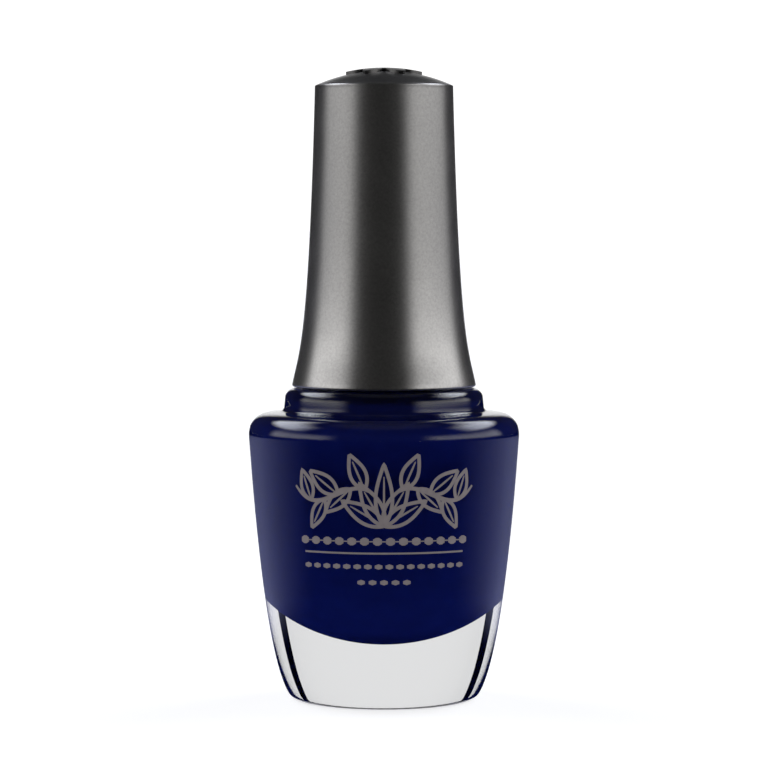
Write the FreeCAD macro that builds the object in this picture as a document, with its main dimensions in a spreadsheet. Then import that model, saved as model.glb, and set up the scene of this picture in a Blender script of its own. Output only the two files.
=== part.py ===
"""Nail polish bottle: a round clear glass bottle with a heavy base, filled with lacquer, closed by a
tall tapered screw cap that carries the brush.

Frame: millimetres, +Z up, origin at the centre of the foot ring, on the surface the bottle stands on.
Everything is turned about Z, apart from the screw threads, the flat bristle tuft, the ribs and the
ornament on top. The tuft is widest along X.

The driving sizes are in the spreadsheet "sizes". A Size carries both a number and the sheet
expression that gives it, so the same value places a sketch and drives its constraint.
"""
import FreeCAD
import Part
import math
import os
import Sketcher

V = FreeCAD.Vector
SHEET = "sizes"
NEAR = 0.01  # how close an edge lies to the place it is looked for at

# name, millimetres unless it says otherwise
DRIVING = [
    # glass, outside
    ("foot_radius", 11.8),
    ("side_low_radius", 14.95),
    ("side_low_height", 2.6),
    ("side_high_radius", 16.92),
    ("side_high_height", 24.0),
    ("body_radius", 17.7),
    ("shoulder_height", 36.8),
    ("shoulder_rise", 0.55),
    ("heel_round", 1.6),
    ("shoulder_round", 2.7),
    ("collar_radius", 12.97),
    ("collar_draft", 0.2),
    ("collar_height", 2.95),
    ("collar_round", 1.5),
    ("collar_root_round", 0.6),
    ("neck_radius", 5.75),
    ("neck_height", 11.3),
    ("neck_root_round", 0.5),
    ("lip_round", 0.5),
    ("recess_radius", 9.4),
    ("recess_depth", 0.6),
    ("recess_bevel", 0.4),
    # glass, inside
    ("base_thickness", 8.45),
    ("bowl_radius", 13.0),
    ("bowl_edge", 10.7),
    ("bowl_lift", 1.0),
    ("side_wall", 1.9),
    ("shoulder_wall", 1.2),
    ("collar_wall", 1.5),
    ("roof_wall", 1.1),
    ("roof_rise", 0.5),
    ("funnel_radius", 5.2),
    ("funnel_height", 2.0),
    ("bore_radius", 3.5),
    ("cavity_round", 1.0),
    # screw thread: twelve threads to the inch
    ("thread_pitch", 2.117),
    ("thread_depth", 0.75),
    ("thread_foot", 1.1),
    ("thread_crest", 0.45),
    ("thread_turns", 1.75),
    ("thread_drop", 1.6),
    ("cap_thread_turns", 1.5),
    ("thread_clearance", 0.2),
    # contents
    ("fill_below_collar", 0.6),
    ("immersed_gap", 0.15),
    ("ball_radius", 2.2),
    ("ball_spacing", 4.6),
    ("ball_gap", 0.1),
    ("label_radius", 8.9),
    ("label_thickness", 0.1),
    # outer cap
    ("cap_gap", 0.15),
    ("cap_length", 38.7),
    ("cap_top_step", 1.205),
    ("cap_high_step", 0.865),
    ("cap_low_step", 2.155),
    ("cap_mouth_step", 3.035),
    ("cap_low_height", 4.5),
    ("cap_high_height", 5.0),
    ("cap_bevel", 0.2),
    ("cap_bevel_rise", 0.12),
    ("dome_rise", 1.83),
    ("cap_wall", 1.3),
    ("cap_roof", 1.5),
    ("mouth_round", 0.25),
    ("rib_count", 8),
    ("rib_width", 0.9),
    # inner cap
    ("inner_recess", 0.5),
    ("inner_wall", 1.0),
    ("inner_flange", 0.9),
    ("inner_flange_gap", 0.55),
    ("inner_roof", 1.5),
    ("socket_wall", 1.5),
    ("socket_height", 5.2),
    # gasket and brush
    ("gasket_thickness", 0.8),
    ("gasket_radius", 5.7),
    ("gasket_hole", 2.3),
    ("stem_radius", 1.9),
    ("stem_end_radius", 1.75),
    ("stem_bottom", 27.2),
    ("stem_end_round", 0.12),
    ("flange_radius", 5.6),
    ("flange_thickness", 1.15),
    ("flange_gap", 0.05),
    ("post_radius", 2.35),
    ("post_height", 5.6),
    ("post_round", 0.4),
    ("bead_height", 3.0),
    ("bead_proud", 0.2),
    ("bead_width", 0.9),
    ("fit_gap", 0.06),
    ("tuft_radius", 1.4),
    ("tuft_socket", 4.2),
    ("tuft_step", 0.05),
    ("tuft_overlap", 0.5),
    ("tuft_length", 13.0),
    ("tuft_width", 2.5),
    ("tuft_half_thickness", 1.15),
    ("tuft_tip_width", 1.9),
    ("tuft_tip_thickness", 0.6),
    ("anchor_length", 3.3),
    ("anchor_thickness", 0.3),
    ("anchor_height", 1.1),
    # ornament
    ("petal_count", 6),
    ("petal_reach", 4.9),
    ("petal_start", 0.5),
    ("petal_width", 2.4),
    ("ornament_hub", 1.2),
    ("ornament_proud", 0.4),
]


class Size:
    """A number and the sheet expression that gives it."""

    def __init__(self, value, text=None):
        self.value = float(value)
        self.text = text or repr(float(value))

    def _join(self, sign, other, value):
        return Size(value, "(%s %s %s)" % (self.text, sign, other.text))

    def __add__(self, other):
        other = size(other)
        return self._join("+", other, self.value + other.value)

    def __sub__(self, other):
        other = size(other)
        return self._join("-", other, self.value - other.value)

    def __mul__(self, other):
        other = size(other)
        return self._join("*", other, self.value * other.value)

    def __truediv__(self, other):
        other = size(other)
        return self._join("/", other, self.value / other.value)

    def __neg__(self):
        return size(0) - self

    def root(self):
        """Its square root."""
        return Size(math.sqrt(self.value), "sqrt(%s)" % self.text)


def size(value):
    return value if isinstance(value, Size) else Size(value)


class Sizes:
    """The driving sizes by name, as Size values bound to the sheet's cells."""

    def __init__(self, doc):
        self.sheet = doc.addObject("Spreadsheet::Sheet", SHEET)
        self.sheet.Label = SHEET
        for row, (name, value) in enumerate(DRIVING, start=1):
            self.sheet.set("A%d" % row, name)
            self.sheet.set("B%d" % row, repr(value))
            self.sheet.setAlias("B%d" % row, name)
        doc.recompute()
        for name, _ in DRIVING:
            setattr(self, name, Size(self.sheet.get(name), "<<%s>>.%s" % (SHEET, name)))


def line(radius, height):
    """An outline's next corner, reached by a straight edge."""
    return ("line", (size(radius), size(height)))


def arc(radius, height, bend, hollow=False):
    """An outline's next corner, reached by an arc of the radius bend."""
    return ("arc", (size(radius), size(height)), size(bend), hollow)


def curve(pole_1, pole_2, radius, height):
    """An outline's next corner, reached by a cubic curve with two inner poles."""
    return ("curve", (size(radius), size(height)), [tuple(map(size, p)) for p in (pole_1, pole_2)])


def vector(point):
    return V(point[0].value, point[1].value, 0)


def arc_middle(start, end, bend, hollow):
    """The middle of the arc from start to end, on its left side unless it is hollow."""
    chord = end - start
    across = V(-chord.y, chord.x, 0).normalize()
    sagitta = bend - math.sqrt(max(bend ** 2 - (chord.Length / 2) ** 2, 0))
    return (start + end) * 0.5 + across * (sagitta if hollow else -sagitta)


def pin(sketch, geometry, position, point):
    """Holds one point of a sketch at a place given by two Sizes."""
    for kind, value in (("DistanceX", point[0]), ("DistanceY", point[1])):
        number = sketch.addConstraint(Sketcher.Constraint(kind, -1, 1, geometry, position, value.value))
        sketch.setExpression("Constraints[%d]" % number, value.text)


def origin_plane(body, role):
    return next(f for f in body.Origin.OriginFeatures if f.Role == role)


def new_sketch(body, name, role="XZ_Plane"):
    sketch = body.newObject("Sketcher::SketchObject", name)
    sketch.AttachmentSupport = [(origin_plane(body, role), "")]
    sketch.MapMode = "FlatFace"
    return sketch


def outline(body, name, corners):
    """A closed outline of radius and height, in the body's XZ plane. The first corner is a line's."""
    sketch = new_sketch(body, name)
    points = [c[1] for c in corners]
    for i, corner in enumerate(corners[1:] + corners[:1]):
        start, end = points[i], corner[1]
        if corner[0] == "line":
            edge = Part.LineSegment(vector(start), vector(end))
            number = sketch.addGeometry(edge)
            pin(sketch, number, 1, start)
            pin(sketch, number, 2, end)
        elif corner[0] == "arc":
            middle = arc_middle(vector(start), vector(end), corner[2].value, corner[3])
            number = sketch.addGeometry(Part.Arc(vector(start), middle, vector(end)))
            added = sketch.Geometry[number]
            forward = added.StartPoint.distanceToPoint(vector(start)) < NEAR
            pin(sketch, number, 1 if forward else 2, start)
            pin(sketch, number, 2 if forward else 1, end)
            bend = sketch.addConstraint(Sketcher.Constraint("Radius", number, corner[2].value))
            sketch.setExpression("Constraints[%d]" % bend, corner[2].text)
        else:
            poles = [start] + corner[2] + [end]
            bezier = Part.BSplineCurve()
            bezier.buildFromPolesMultsKnots([vector(p) for p in poles], [4, 4], [0.0, 1.0], False, 3)
            number = sketch.addGeometry(bezier)
            sketch.exposeInternalGeometry(number)
            circles = [g for g in range(number + 1, sketch.GeometryCount)
                       if sketch.Geometry[g].TypeId == "Part::GeomCircle"]
            for circle, pole in zip(circles, poles):
                pin(sketch, circle, 3, pole)
    return sketch


def turned(doc, name, corners, rounds=()):
    """A body turned about Z from an outline, with its circular edges at (radius, height) rounded."""
    body = doc.addObject("PartDesign::Body", name)
    sketch = outline(body, name + "_outline", corners)
    turn = body.newObject("PartDesign::Revolution", name + "_turned")
    turn.Profile = sketch
    turn.ReferenceAxis = (origin_plane(body, "Z_Axis"), [""])
    turn.Angle = 360
    doc.recompute()
    for number, (radius, height, bend) in enumerate(rounds):
        round_edge(doc, body, "%s_round_%d" % (name, number), size(radius), size(height), size(bend))
    return body


def circular_edges(shape):
    """The numbers and circles of a shape's circular edges."""
    for number, edge in enumerate(shape.Edges, start=1):
        if not edge.Degenerated and edge.Curve.TypeId == "Part::GeomCircle":
            yield number, edge.Curve


def round_edge(doc, body, name, radius, height, bend):
    """Rounds the body's circular edge at that radius and height."""
    base = body.Tip
    names = ["Edge%d" % n for n, circle in circular_edges(base.Shape)
             if abs(circle.Radius - radius.value) < NEAR
             and abs(circle.Center.z - height.value) < NEAR]
    if not names:
        raise ValueError("%s: no edge at radius %.2f, height %.2f" % (name, radius.value, height.value))
    fillet = body.newObject("PartDesign::Fillet", name)
    fillet.Base = (base, names)
    fillet.setExpression("Radius", bend.text)
    doc.recompute()


def combined(doc, kind, name, base, tool):
    """A Part boolean of two objects."""
    joined = doc.addObject(kind, name)
    joined.Base = base
    joined.Tool = tool
    return joined


def primitive(doc, kind, name, place=(), **sides):
    """A Part primitive whose sides and place are bound to Sizes. place is (x, y, z)."""
    made = doc.addObject(kind, name)
    for side, value in sides.items():
        made.setExpression(side, size(value).text)
    for axis, value in zip("xyz", place):
        made.setExpression("Placement.Base." + axis, size(value).text)
    return made


def levels(s):
    """The heights that several pieces share."""
    s.collar_root = s.shoulder_height + s.shoulder_rise
    s.collar_top = s.collar_root + s.collar_height
    s.lip = s.collar_top + s.neck_height
    s.bowl_centre = s.base_thickness + s.bowl_radius
    s.cap_mouth = s.collar_top + s.cap_gap
    s.cap_shoulder = s.cap_mouth + s.cap_length
    s.inner_mouth = s.cap_mouth + s.inner_recess
    s.gasket_top = s.lip + s.gasket_thickness
    s.flange_top = s.gasket_top + s.flange_thickness
    s.inner_ceiling = s.flange_top + s.flange_gap
    s.inner_top = s.inner_ceiling + s.inner_roof
    s.thread_radius = s.neck_radius + s.thread_depth
    s.inner_bore = s.thread_radius + s.thread_clearance
    s.inner_radius = s.inner_bore + s.inner_wall
    s.cap_top_radius = s.inner_radius + s.cap_top_step
    s.cap_high_radius = s.cap_top_radius + s.cap_high_step
    s.cap_low_radius = s.cap_top_radius + s.cap_low_step
    s.cap_mouth_radius = s.cap_top_radius + s.cap_mouth_step
    s.tuft_top = s.stem_bottom + s.tuft_socket
    s.tuft_tip = s.stem_bottom - s.tuft_length


def glass_blank(doc, s):
    """The outside of the bottle, with the shallow recess under its foot."""
    collar_top_radius = s.collar_radius - s.collar_draft
    corners = [
        line(0, s.recess_depth),
        line(s.recess_radius, s.recess_depth),
        line(s.recess_radius + s.recess_bevel, 0),
        line(s.foot_radius, 0),
        curve((s.side_low_radius, s.side_low_height), (s.side_high_radius, s.side_high_height),
              s.body_radius, s.shoulder_height),
        line(s.collar_radius, s.collar_root),
        line(collar_top_radius, s.collar_top),
        line(s.neck_radius, s.collar_top),
        line(s.neck_radius, s.lip),
        line(0, s.lip),
    ]
    rounds = [
        (s.foot_radius, 0, s.heel_round),
        (s.body_radius, s.shoulder_height, s.shoulder_round),
        (s.collar_radius, s.collar_root, s.collar_root_round),
        (collar_top_radius, s.collar_top, s.collar_round),
        (s.neck_radius, s.collar_top, s.neck_root_round),
    ]
    return turned(doc, "glass_blank", corners, rounds)


def glass_cavity(doc, s):
    """The space inside the bottle, from the bowl at the bottom up through the neck."""
    edge_drop = (s.bowl_radius * s.bowl_radius - s.bowl_edge * s.bowl_edge).root()
    edge_height = s.bowl_centre - edge_drop
    wall_radius = s.body_radius - s.side_wall
    wall_top = s.shoulder_height - s.shoulder_wall
    slope = edge_drop / s.bowl_edge
    lift = s.bowl_lift
    side_slope = (s.body_radius - s.side_high_radius) / (s.shoulder_height - s.side_high_height)
    drop = (wall_top - edge_height) / 3
    collar_inside = s.collar_radius - s.collar_wall
    roof = s.collar_top - s.roof_wall - s.roof_rise
    corners = [
        line(0, s.base_thickness),
        arc(s.bowl_edge, edge_height, s.bowl_radius),
        curve((s.bowl_edge + slope * lift, edge_height + lift),
              (wall_radius - side_slope * drop, wall_top - drop), wall_radius, wall_top),
        line(collar_inside, wall_top + s.shoulder_rise),
        line(collar_inside - s.collar_draft, roof),
        line(s.funnel_radius, roof + s.roof_rise),
        line(s.bore_radius, roof + s.roof_rise + s.funnel_height),
        line(s.bore_radius, s.lip + s.neck_height),
        line(0, s.lip + s.neck_height),
    ]
    rounds = [
        (wall_radius, wall_top, s.cavity_round),
        (collar_inside - s.collar_draft, roof, s.cavity_round),
        (s.funnel_radius, roof + s.roof_rise, s.cavity_round),
    ]
    return turned(doc, "glass_cavity", corners, rounds)


def thread_ridge(doc, name, s, start, turns, foot_radius, crest_radius, turned_by=0.0):
    """A screw ridge that sinks into its wall over its first and last quarter turn. The foot lies a
    little inside the wall at foot_radius, and the crest is at crest_radius."""
    pitch, half_foot, half_crest = s.thread_pitch.value, s.thread_foot.value / 2, s.thread_crest.value / 2
    steps_a_turn = 16
    run_out = 0.25
    into_wall = 0.2 if foot_radius < crest_radius else -0.2
    steps = int(round(turns * steps_a_turn))
    sections = []
    for step in range(steps + 1):
        turn = step / steps_a_turn
        fade = min(turn, turns - turn, run_out) / run_out
        fade = 0.12 + 0.88 * math.sin(fade * math.pi / 2)
        crest = foot_radius + (crest_radius - foot_radius) * fade
        foot = foot_radius - into_wall
        height = start + pitch * turn
        corners = [(foot, -half_foot), (crest, -half_crest * fade),
                   (crest, half_crest * fade), (foot, half_foot)]
        angle = 2 * math.pi * (turn + turned_by)
        points = [V(r * math.cos(angle), r * math.sin(angle), height + z) for r, z in corners]
        sections.append(Part.makePolygon(points + points[:1]))
    ridge = doc.addObject("Part::Feature", name)
    ridge.Shape = Part.makeLoft(sections, True, False)
    return ridge


def glass_bottle(doc, s, cavity):
    """The clear glass bottle."""
    start = s.lip.value - s.thread_drop.value - s.thread_turns.value * s.thread_pitch.value
    ridge = thread_ridge(doc, "glass_thread", s, start, s.thread_turns.value, s.neck_radius.value,
                         s.thread_radius.value)
    threaded = combined(doc, "Part::Fuse", "glass_threaded", glass_blank(doc, s), ridge)
    hollow = combined(doc, "Part::Cut", "glass_hollow", threaded, cavity)
    doc.recompute()
    lip = doc.addObject("Part::Fillet", "glass_bottle")
    lip.Base = hollow
    rims = [n for n, circle in circular_edges(hollow.Shape)
            if abs(circle.Center.z - s.lip.value) < NEAR]
    lip.Edges = [(n, s.lip_round.value, s.lip_round.value) for n in rims]
    return lip


def tuft_shape(doc, name, s, gap=0.0):
    """The bristle tuft: round where it leaves the stem, then a flat fan with a thinned tip."""
    tip, length = s.tuft_tip, s.tuft_length
    top = s.tuft_radius - s.tuft_step
    shares = [
        (top, top - s.tuft_step, s.stem_bottom + s.tuft_overlap),
        (top, top - s.tuft_step, s.stem_bottom),
        ((s.tuft_radius + s.tuft_width) / 2, s.tuft_radius, tip + length * 0.7),
        (s.tuft_width, s.tuft_half_thickness, tip + length * 0.3),
        ((s.tuft_width + s.tuft_tip_width) / 2, s.tuft_half_thickness * 0.8, tip + length * 0.1),
        (s.tuft_tip_width, s.tuft_tip_thickness, tip),
    ]
    sections = []
    for number, (wide, thin, height) in enumerate(shares):
        below = gap if number == len(shares) - 1 else 0.0
        section = primitive(doc, "Part::Ellipse", "%s_section_%d" % (name, number), (0, 0, height - below),
                            MajorRadius=wide + gap, MinorRadius=thin + gap)
        sections.append(section)
    fan = doc.addObject("Part::Loft", name)
    fan.Sections = sections
    fan.Solid = True
    fan.Ruled = False
    return fan


def bristle_tuft(doc, s, anchor):
    """The tuft with its root in the stem, split by the anchor that holds it."""
    root = primitive(doc, "Part::Cylinder", "tuft_root", (0, 0, s.stem_bottom),
                     Radius=s.tuft_radius, Height=s.tuft_socket)
    whole = combined(doc, "Part::Fuse", "tuft_whole", tuft_shape(doc, "tuft_fan", s), root)
    return combined(doc, "Part::Cut", "bristle_tuft", whole, anchor)


def tuft_anchor(doc, s):
    """The metal strip that the filaments are folded over, driven into the stem's end."""
    return primitive(doc, "Part::Box", "tuft_anchor",
                     (s.anchor_length / -2, s.anchor_thickness / -2, s.tuft_top - s.anchor_height - 0.5),
                     Length=s.anchor_length, Width=s.anchor_thickness, Height=s.anchor_height)


def brush_stem(doc, s, anchor):
    """The moulded stem, with its sealing flange, the post that snaps into the inner cap and the hole
    that holds the tuft."""
    bead_low = s.flange_top + s.bead_height
    bead_radius = s.post_radius + s.bead_proud
    post_top = s.flange_top + s.post_height
    corners = [
        line(0, s.tuft_top),
        line(s.tuft_radius, s.tuft_top),
        line(s.tuft_radius, s.stem_bottom),
        line(s.stem_end_radius, s.stem_bottom),
        line(s.stem_radius, s.gasket_top - 1.5),
        line(s.stem_radius + 0.3, s.gasket_top),
        line(s.flange_radius, s.gasket_top),
        line(s.flange_radius, s.flange_top),
        line(s.post_radius, s.flange_top),
        line(s.post_radius, bead_low),
        line(bead_radius, bead_low + s.bead_width / 3),
        line(bead_radius, bead_low + s.bead_width * 2 / 3),
        line(s.post_radius, bead_low + s.bead_width),
        line(s.post_radius, post_top),
        line(0, post_top),
    ]
    rounds = [
        (s.post_radius, post_top, s.post_round),
        (s.stem_end_radius, s.stem_bottom, s.stem_end_round),
    ]
    stem = turned(doc, "stem_turned", corners, rounds)
    return combined(doc, "Part::Cut", "brush_stem", stem, anchor)


def sealing_gasket(doc, s):
    """The washer between the glass lip and the stem's flange."""
    disc = primitive(doc, "Part::Cylinder", "gasket_disc", (0, 0, s.lip),
                     Radius=s.gasket_radius, Height=s.gasket_thickness)
    hole = primitive(doc, "Part::Cylinder", "gasket_bore", (0, 0, s.lip),
                     Radius=s.gasket_hole, Height=s.gasket_thickness)
    return combined(doc, "Part::Cut", "sealing_gasket", disc, hole)


def inner_cap(doc, s):
    """The threaded closure inside the outer cap, with the socket that the brush snaps into."""
    bead_low = s.flange_top + s.bead_height - s.fit_gap
    bead_high = s.flange_top + s.bead_height + s.bead_width + s.fit_gap
    socket = s.post_radius + s.fit_gap
    groove = socket + s.bead_proud
    socket_top = s.inner_top + s.socket_height
    flange_radius = s.cap_mouth_radius - s.cap_wall - s.inner_flange_gap
    corners = [
        line(s.inner_bore, s.inner_mouth),
        line(flange_radius, s.inner_mouth),
        line(flange_radius, s.inner_mouth + s.inner_flange),
        line(s.inner_radius, s.inner_mouth + s.inner_flange),
        line(s.inner_radius, s.inner_top),
        line(socket + s.socket_wall, s.inner_top),
        line(socket + s.socket_wall, socket_top),
        line(socket, socket_top),
        line(socket, bead_high),
        line(groove, bead_high - s.bead_width / 3),
        line(groove, bead_low + s.bead_width / 3),
        line(socket, bead_low),
        line(socket, s.inner_ceiling),
        line(s.inner_bore, s.inner_ceiling),
    ]
    shell = turned(doc, "inner_turned", corners)
    start = (s.lip - s.thread_drop - s.thread_turns * s.thread_pitch - s.thread_pitch / 2).value
    ridge = thread_ridge(doc, "cap_thread", s, start, s.cap_thread_turns.value, s.inner_bore.value,
                         (s.neck_radius + s.thread_clearance).value)
    return combined(doc, "Part::Fuse", "inner_cap", shell, ridge)


def cap_curve(s, wall=0.0):
    """The outer cap's flared side, moved in by a wall."""
    return curve((s.cap_low_radius - wall, s.cap_mouth + s.cap_low_height),
                 (s.cap_high_radius - wall, s.cap_mouth + s.cap_high_height),
                 s.cap_top_radius - wall, s.cap_shoulder)


def dome_radius(s):
    """The radius of the domed top, from its rise and the rim it stands on."""
    rim = s.cap_top_radius - s.cap_bevel
    return (rim * rim + s.dome_rise * s.dome_rise) / (s.dome_rise * 2)


def dome_top(s):
    return s.cap_shoulder + s.cap_bevel_rise + s.dome_rise


def outer_cap(doc, s):
    """The tall tapered shell that is held and turned, with ribs inside that grip the inner cap."""
    blank = turned(doc, "cap_blank", [
        line(0, s.cap_mouth),
        line(s.cap_mouth_radius, s.cap_mouth),
        cap_curve(s),
        line(s.cap_top_radius - s.cap_bevel, s.cap_shoulder + s.cap_bevel_rise),
        arc(0, dome_top(s), dome_radius(s)),
    ], [(s.cap_mouth_radius, s.cap_mouth, s.mouth_round)])
    ceiling = s.cap_shoulder - s.cap_roof
    void_top = cap_curve(s, s.cap_wall)
    void = turned(doc, "cap_void", [
        line(0, s.cap_mouth),
        line(s.cap_mouth_radius - s.cap_wall, s.cap_mouth),
        curve(void_top[2][0], void_top[2][1], s.cap_top_radius - s.cap_wall, ceiling),
        line(0, ceiling),
    ])
    cut_ribs(doc, void, s)
    return combined(doc, "Part::Cut", "outer_cap", blank, void)


def cut_ribs(doc, void, s):
    """Takes the ribs' slots out of the outer cap's void, so that they stand in the shell."""
    foot = s.inner_mouth + s.inner_flange
    plane = origin_plane(void, "XY_Plane")
    sketch = void.newObject("Sketcher::SketchObject", "rib_section")
    sketch.AttachmentSupport = [(plane, "")]
    sketch.MapMode = "FlatFace"
    sketch.setExpression("AttachmentOffset.Base.z", foot.text)
    half = s.rib_width / 2
    inner, outer = s.inner_radius, s.cap_mouth_radius
    corners = [(inner, -half), (outer, -half), (outer, half), (inner, half)]
    for start, end in zip(corners, corners[1:] + corners[:1]):
        number = sketch.addGeometry(Part.LineSegment(vector(start), vector(end)))
        pin(sketch, number, 1, start)
        pin(sketch, number, 2, end)
    slot = void.newObject("PartDesign::Pocket", "rib_slot")
    slot.Profile = sketch
    slot.Reversed = True
    slot.setExpression("Length", (s.inner_top - foot).text)
    doc.recompute()
    pattern = void.newObject("PartDesign::PolarPattern", "rib_slots")
    pattern.Originals = [slot]
    pattern.Axis = (origin_plane(void, "Z_Axis"), [""])
    pattern.Angle = 360
    pattern.setExpression("Occurrences", s.rib_count.text)
    void.Tip = pattern
    doc.recompute()


def petal(s):
    """One lens-shaped petal along X, tall enough to pass through the dome."""
    start, reach = s.petal_start.value, s.petal_reach.value
    half = s.petal_width.value / 2
    middle = (start + reach) / 2
    low, high = dome_top(s).value - s.dome_rise.value * 2, s.dome_rise.value * 4
    ends = V(start, 0, low), V(reach, 0, low)
    left = Part.Arc(ends[0], V(middle, half, low), ends[1]).toShape()
    right = Part.Arc(ends[1], V(middle, -half, low), ends[0]).toShape()
    return Part.Face(Part.Wire([left, right])).extrude(V(0, 0, high))


def top_ornament(doc, s):
    """A plain six-petalled flower that stands a little proud of the domed top."""
    dome, top, proud = dome_radius(s).value, dome_top(s).value, s.ornament_proud.value
    centre = V(0, 0, top - dome)
    low, high = top - s.dome_rise.value * 2, s.dome_rise.value * 4
    flower = Part.makeCylinder(s.ornament_hub.value, high, V(0, 0, low))
    count = int(s.petal_count.value)
    for number in range(count):
        leaf = petal(s)
        leaf.rotate(V(0, 0, 0), V(0, 0, 1), 360.0 * number / count)
        flower = flower.fuse(leaf)
    shell = Part.makeSphere(dome + proud, centre).cut(Part.makeSphere(dome, centre))
    ornament = doc.addObject("Part::Feature", "top_ornament")
    ornament.Shape = flower.common(shell).removeSplitter()
    return ornament


def ball_place(s, side):
    """Where a mixing ball rests in the bowl, in front of or behind the axis."""
    reach = s.bowl_radius - s.ball_radius - s.ball_gap
    out = s.ball_spacing / 2
    height = s.bowl_centre - (reach * reach - out * out).root()
    return (size(0), out * side, height)


def mixing_ball(doc, name, s, side):
    """A steel ball that lies in the bowl and stirs the lacquer when the bottle is shaken."""
    return primitive(doc, "Part::Sphere", name, ball_place(s, side), Radius=s.ball_radius)


def lacquer(doc, s, cavity):
    """The liquid, up to its level in the collar, with the brush and the balls standing in it."""
    level = s.collar_top - s.fill_below_collar
    space = primitive(doc, "Part::Cylinder", "fill_space", Radius=s.body_radius, Height=level)
    liquid = combined(doc, "Part::Common", "liquid", cavity, space)
    stem = primitive(doc, "Part::Cylinder", "stem_dip", (0, 0, s.stem_bottom - s.immersed_gap),
                     Radius=s.stem_radius + s.immersed_gap, Height=s.lip)
    dips = doc.addObject("Part::MultiFuse", "dips")
    dips.Shapes = [stem, tuft_shape(doc, "tuft_dip", s, s.immersed_gap)]
    for number, side in enumerate((-1, 1)):
        dip = primitive(doc, "Part::Sphere", "ball_dip_%d" % number, ball_place(s, side),
                        Radius=s.ball_radius + s.ball_gap / 2)
        dips.Shapes = dips.Shapes + [dip]
    return combined(doc, "Part::Cut", "lacquer", liquid, dips)


def base_label(doc, s):
    """The round paper label in the recess under the foot."""
    return primitive(doc, "Part::Cylinder", "base_label", (0, 0, s.recess_depth - s.label_thickness),
                     Radius=s.label_radius, Height=s.label_thickness)


def build(doc):
    """Makes every piece and returns the objects to write, one for each node."""
    s = Sizes(doc)
    levels(s)
    cavity = glass_cavity(doc, s)
    anchor = tuft_anchor(doc, s)
    return [
        glass_bottle(doc, s, cavity),
        lacquer(doc, s, cavity),
        mixing_ball(doc, "mixing_ball_front", s, -1),
        mixing_ball(doc, "mixing_ball_back", s, 1),
        base_label(doc, s),
        sealing_gasket(doc, s),
        anchor,
        brush_stem(doc, s, anchor),
        bristle_tuft(doc, s, anchor),
        inner_cap(doc, s),
        outer_cap(doc, s),
        top_ornament(doc, s),
    ]


def check(doc, pieces):
    """Stops if any object failed to build or any piece is not a valid solid."""
    for made in doc.Objects:
        if "Invalid" in made.State or "Error" in made.State:
            raise RuntimeError("%s did not build: %s" % (made.Label, made.State))
    for piece in pieces:
        shape = piece.Shape
        if shape.isNull() or not shape.isValid() or not shape.Solids:
            raise RuntimeError("%s has no valid solid" % piece.Label)


def write(pieces):
    os.makedirs("parts", exist_ok=True)
    for piece in pieces:
        piece.Shape.exportStep("parts/%s.step" % piece.Label)
        print("%-20s %8.1f mm3, %d solid(s)" % (piece.Label, piece.Shape.Volume, len(piece.Shape.Solids)))


document = FreeCAD.newDocument("nail_polish_bottle")
made_pieces = build(document)
document.recompute()
check(document, made_pieces)
write(made_pieces)
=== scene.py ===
"""Looks for the nail polish bottle: glass, lacquer, cap, brush and printed ornament around the CAD frame.

Metres, +Z up, origin at the centre of the foot ring. MM turns millimetres into metres.
"""
import math
import random
import bpy
import numpy as np
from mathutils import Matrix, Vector


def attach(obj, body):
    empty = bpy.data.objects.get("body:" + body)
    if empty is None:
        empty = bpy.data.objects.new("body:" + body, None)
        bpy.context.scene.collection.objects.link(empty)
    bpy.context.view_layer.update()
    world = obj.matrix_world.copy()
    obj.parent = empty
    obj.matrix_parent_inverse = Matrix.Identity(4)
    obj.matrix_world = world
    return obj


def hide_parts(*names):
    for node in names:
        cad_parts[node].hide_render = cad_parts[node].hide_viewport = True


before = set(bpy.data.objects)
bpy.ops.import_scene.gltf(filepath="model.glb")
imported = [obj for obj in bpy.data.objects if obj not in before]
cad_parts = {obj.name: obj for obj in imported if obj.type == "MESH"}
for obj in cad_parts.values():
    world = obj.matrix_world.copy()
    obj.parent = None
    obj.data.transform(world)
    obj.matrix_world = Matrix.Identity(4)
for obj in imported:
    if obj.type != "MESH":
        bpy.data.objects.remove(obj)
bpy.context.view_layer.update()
MM = 0.001
TURN = 2 * math.pi
AROUND = 256


# ---------------------------------------------------------------- outlines, in millimetres (radius, height)

def straight(a, b, steps=2):
    return np.linspace(a, b, steps)


def cubic(a, p, q, b, steps=400):
    k = np.linspace(0, 1, steps)[:, None]
    a, p, q, b = (np.array(v, float) for v in (a, p, q, b))
    return (1 - k) ** 3 * a + 3 * k * (1 - k) ** 2 * p + 3 * k * k * (1 - k) * q + k ** 3 * b


def circular(centre, radius, start, end, steps=24):
    k = np.radians(np.linspace(start, end, steps))
    return np.stack([centre[0] + radius * np.cos(k), centre[1] + radius * np.sin(k)], 1)


def offset(path, distance):
    """The path moved to its left by a distance."""
    along = np.gradient(path, axis=0)
    along /= np.linalg.norm(along, axis=1)[:, None]
    return path + distance * np.stack([-along[:, 1], along[:, 0]], 1)


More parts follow.
